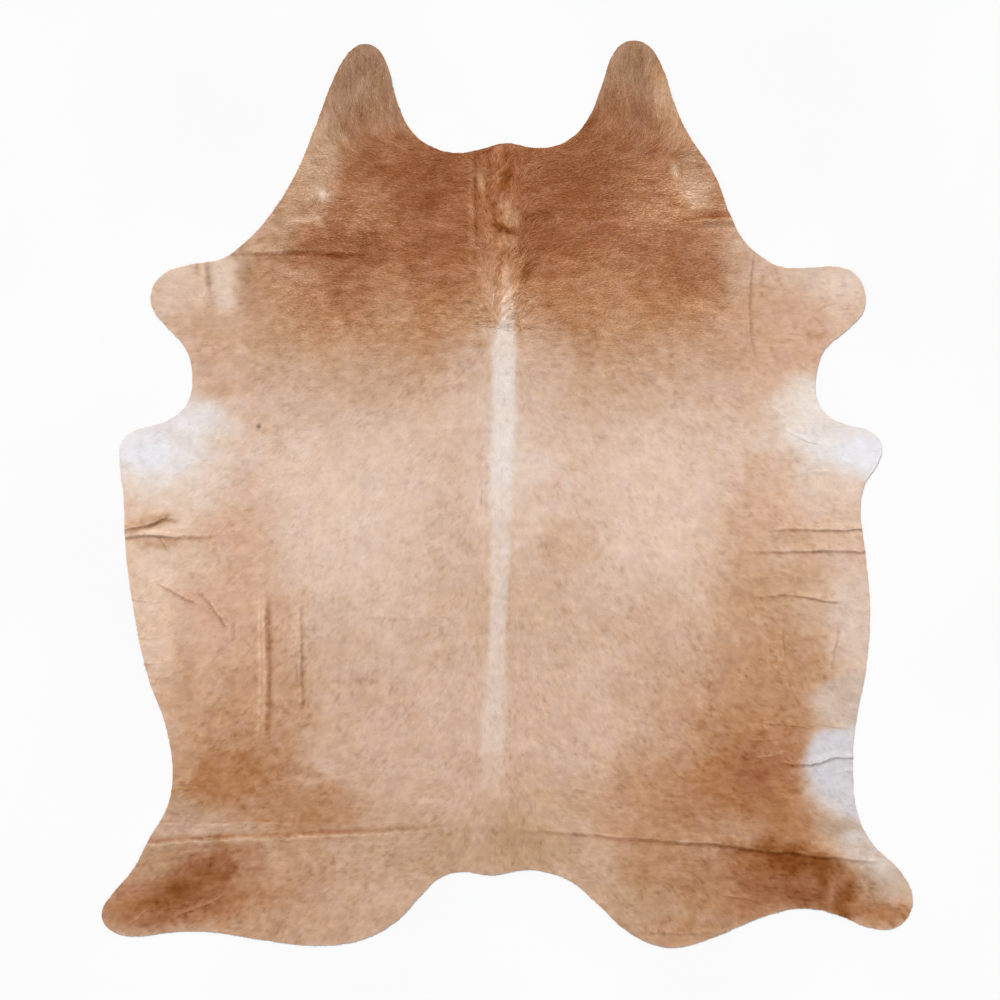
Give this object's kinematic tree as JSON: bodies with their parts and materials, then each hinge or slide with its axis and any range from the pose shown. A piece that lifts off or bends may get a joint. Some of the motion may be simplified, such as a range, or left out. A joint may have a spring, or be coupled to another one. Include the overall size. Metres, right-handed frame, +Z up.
{
  "type": "cowhide rug",
  "caption": "Whole tan cowhide laid flat as a floor rug, hair side up, with rounded leg lobes, a notched neck and tail, and soft packing folds.",
  "frame": {"origin": "on the floor, under the middle of the hide's bounding box", "axes": "+Z up from the floor, +Y from the tail to the neck, +X to the right seen from above with the neck up"},
  "size_m": [2.03, 2.27, 0.0117],
  "materials": {
    "coat": "short smooth tan hair on tanned hide"
  },
  "bodies": {
    "root": {"hide": "coat"}
  },
  "joints": []
}
